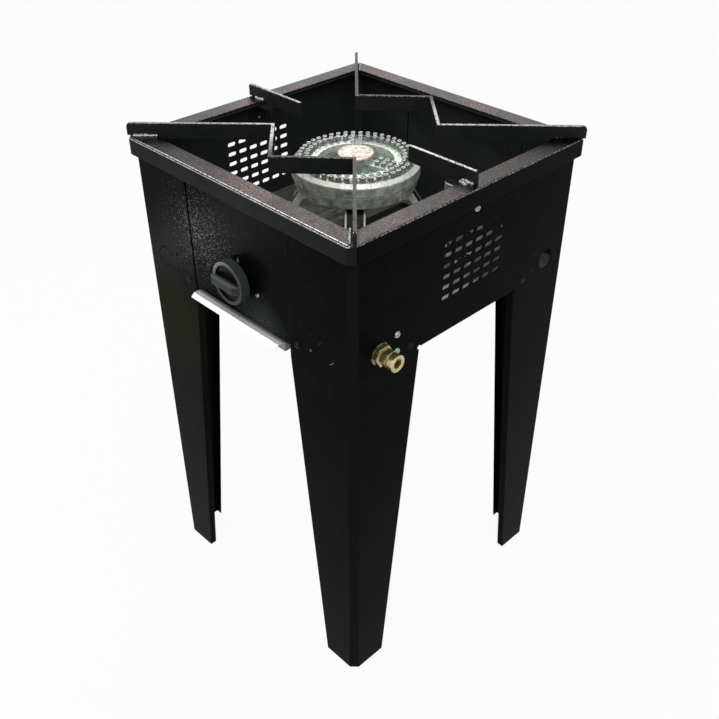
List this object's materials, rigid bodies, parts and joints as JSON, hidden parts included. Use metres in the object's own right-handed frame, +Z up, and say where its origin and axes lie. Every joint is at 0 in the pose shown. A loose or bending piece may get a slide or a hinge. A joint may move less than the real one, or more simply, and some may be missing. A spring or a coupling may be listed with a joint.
{
  "type": "gas burner stove",
  "caption": "Free-standing square gas burner on tall tapered sheet legs, with folded pot supports, ring burner, side vents, gas tap, brass inlet and pull-out drip tray.",
  "frame": {"origin": "on the ground, at the middle of the square that the four legs stand on", "axes": "+Z up, -Y towards the side with the knob and the drip tray's handle, +X towards the side with the gas inlet"},
  "size_m": [0.4245, 0.4185, 0.6975],
  "materials": {
    "box_paint": "matt textured powder coat",
    "rim_paint": "satin textured powder coat",
    "bar_paint": "satin enamel",
    "cast_alloy": "as cast, machined face",
    "cap_metal": "worn",
    "galvanised": "galvanised sheet",
    "tube_metal": "drawn tube",
    "valve_metal": "die cast",
    "brass": "turned brass",
    "knob_plastic": "moulded",
    "screw_zinc": "zinc plated"
  },
  "bodies": {
    "stove": {"side_panel_left": "box_paint", "side_panel_right": "box_paint", "front_panel": "box_paint", "back_panel": "box_paint", "rim_frame": "rim_paint", "pot_support_front": "bar_paint", "pot_support_back": "bar_paint", "pot_support_left": "bar_paint", "pot_support_right": "bar_paint", "burner_base": "cast_alloy", "burner_head": "cast_alloy", "burner_cap": "cap_metal", "mixer_tube": "cast_alloy", "burner_stand": "galvanised", "floor_pan": "galvanised", "tray_runner_left": "galvanised", "tray_runner_right": "galvanised", "valve_body": "valve_metal", "inlet_pipe": "tube_metal", "inlet_fitting": "brass", "inlet_nut": "brass", "inlet_adaptor": "brass", "inlet_bracket": "galvanised", "feed_tube": "tube_metal", "injector_elbow": "brass", "panel_screws": "screw_zinc", "bracket_screws": "screw_zinc", "support_screws": "screw_zinc", "stand_screws": "screw_zinc", "valve_screw": "screw_zinc"},
    "tray": {"drip_tray": "galvanised"},
    "plug": {"valve_plug": "brass"},
    "handle": {"valve_stem": "screw_zinc", "knob": "knob_plastic"}
  },
  "joints": [
    {"name": "tray_slide", "type": "slide", "parent": "stove", "child": "tray", "axis": [0, -1, 0], "range_m": [0, 0.26]},
    {"name": "knob_turn", "type": "hinge", "parent": "stove", "child": "plug", "pos_m": [0, -0.18, 0.561], "axis": [0, -1, 0], "range_deg": [0, 200]},
    {"name": "knob_push", "type": "slide", "parent": "plug", "child": "handle", "axis": [0, 1, 0], "range_m": [0, 0.003], "stiffness_N_per_m": 2000, "springref_m": -0.001}
  ]
}
